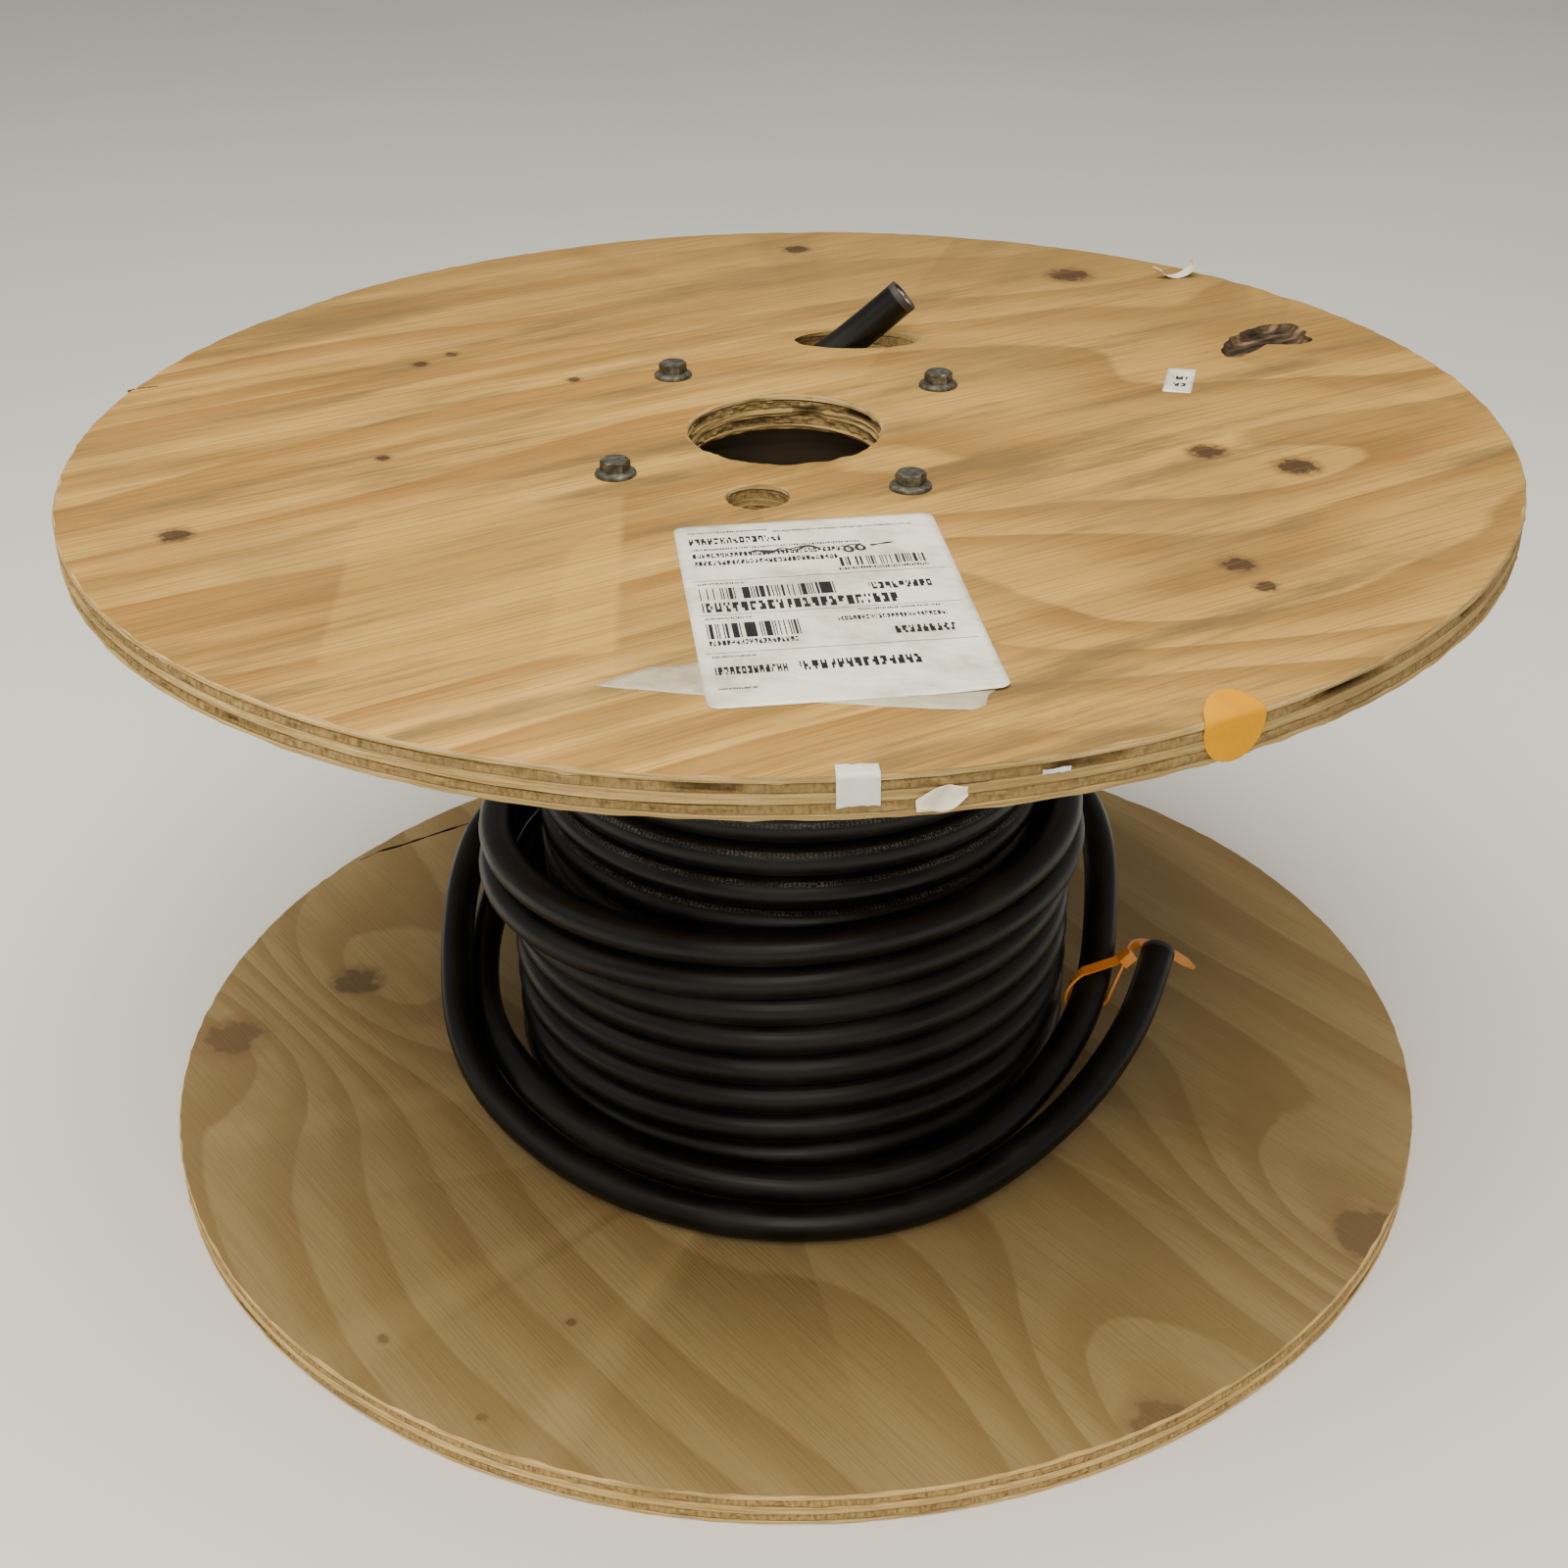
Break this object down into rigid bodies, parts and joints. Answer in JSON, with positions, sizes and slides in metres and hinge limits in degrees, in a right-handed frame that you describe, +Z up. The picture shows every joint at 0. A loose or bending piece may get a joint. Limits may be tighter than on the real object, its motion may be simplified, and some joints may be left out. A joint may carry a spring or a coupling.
{
  "type": "wire spool",
  "caption": "Round plywood cable reel with a fibre core, through bolts, arbor and drive holes, and a part length of thick black cable with loose turns.",
  "frame": {"origin": "centre of the bottom flange's underside, on the spool's axis", "axes": "+Z up the spool's axis, out of the flange that carries the label; -Y towards the side the label reads from; +X to that reader's right"},
  "size_m": [0.6095, 0.6096, 0.3637],
  "materials": {
    "plywood": "rough unfinished pine plywood, weathered",
    "fibre_tube": "wound fibreboard tube, matt",
    "cable_jacket": "black extruded jacket, satin",
    "wire_insulation": "insulated copper wires, cut face",
    "ground_insulation": "green and yellow insulation, cut face",
    "orange_nylon": "orange moulded nylon",
    "label_paper": "printed label paper",
    "old_label_paper": "yellowed torn label paper",
    "dot_paper": "yellow-orange sticker paper",
    "tape_paper": "torn paper tape",
    "staple_steel": "flat bright wire",
    "bolt_steel": "zinc-plated steel, dulled"
  },
  "bodies": {
    "root": {"bottom_flange": "plywood", "cable_first_layer": "cable_jacket", "cable_loose_turn": "cable_jacket", "cable_second_layer": "cable_jacket", "cable_start": "cable_jacket", "cable_tie": "orange_nylon", "core_tube": "fibre_tube", "dot_sticker": "dot_paper", "edge_tape": "tape_paper", "free_end_ground_wire": "ground_insulation", "free_end_power_wires": "wire_insulation", "masking_tape": "tape_paper", "old_label": "old_label_paper", "paper_scrap": "tape_paper", "price_label": "label_paper", "shipping_label": "label_paper", "staple": "staple_steel", "start_ground_wire": "ground_insulation", "start_power_wires": "wire_insulation", "tee_nut_1": "bolt_steel", "tee_nut_2": "bolt_steel", "tee_nut_3": "bolt_steel", "tee_nut_4": "bolt_steel", "through_bolt_1": "bolt_steel", "through_bolt_2": "bolt_steel", "through_bolt_3": "bolt_steel", "through_bolt_4": "bolt_steel", "top_flange": "plywood"}
  },
  "joints": []
}
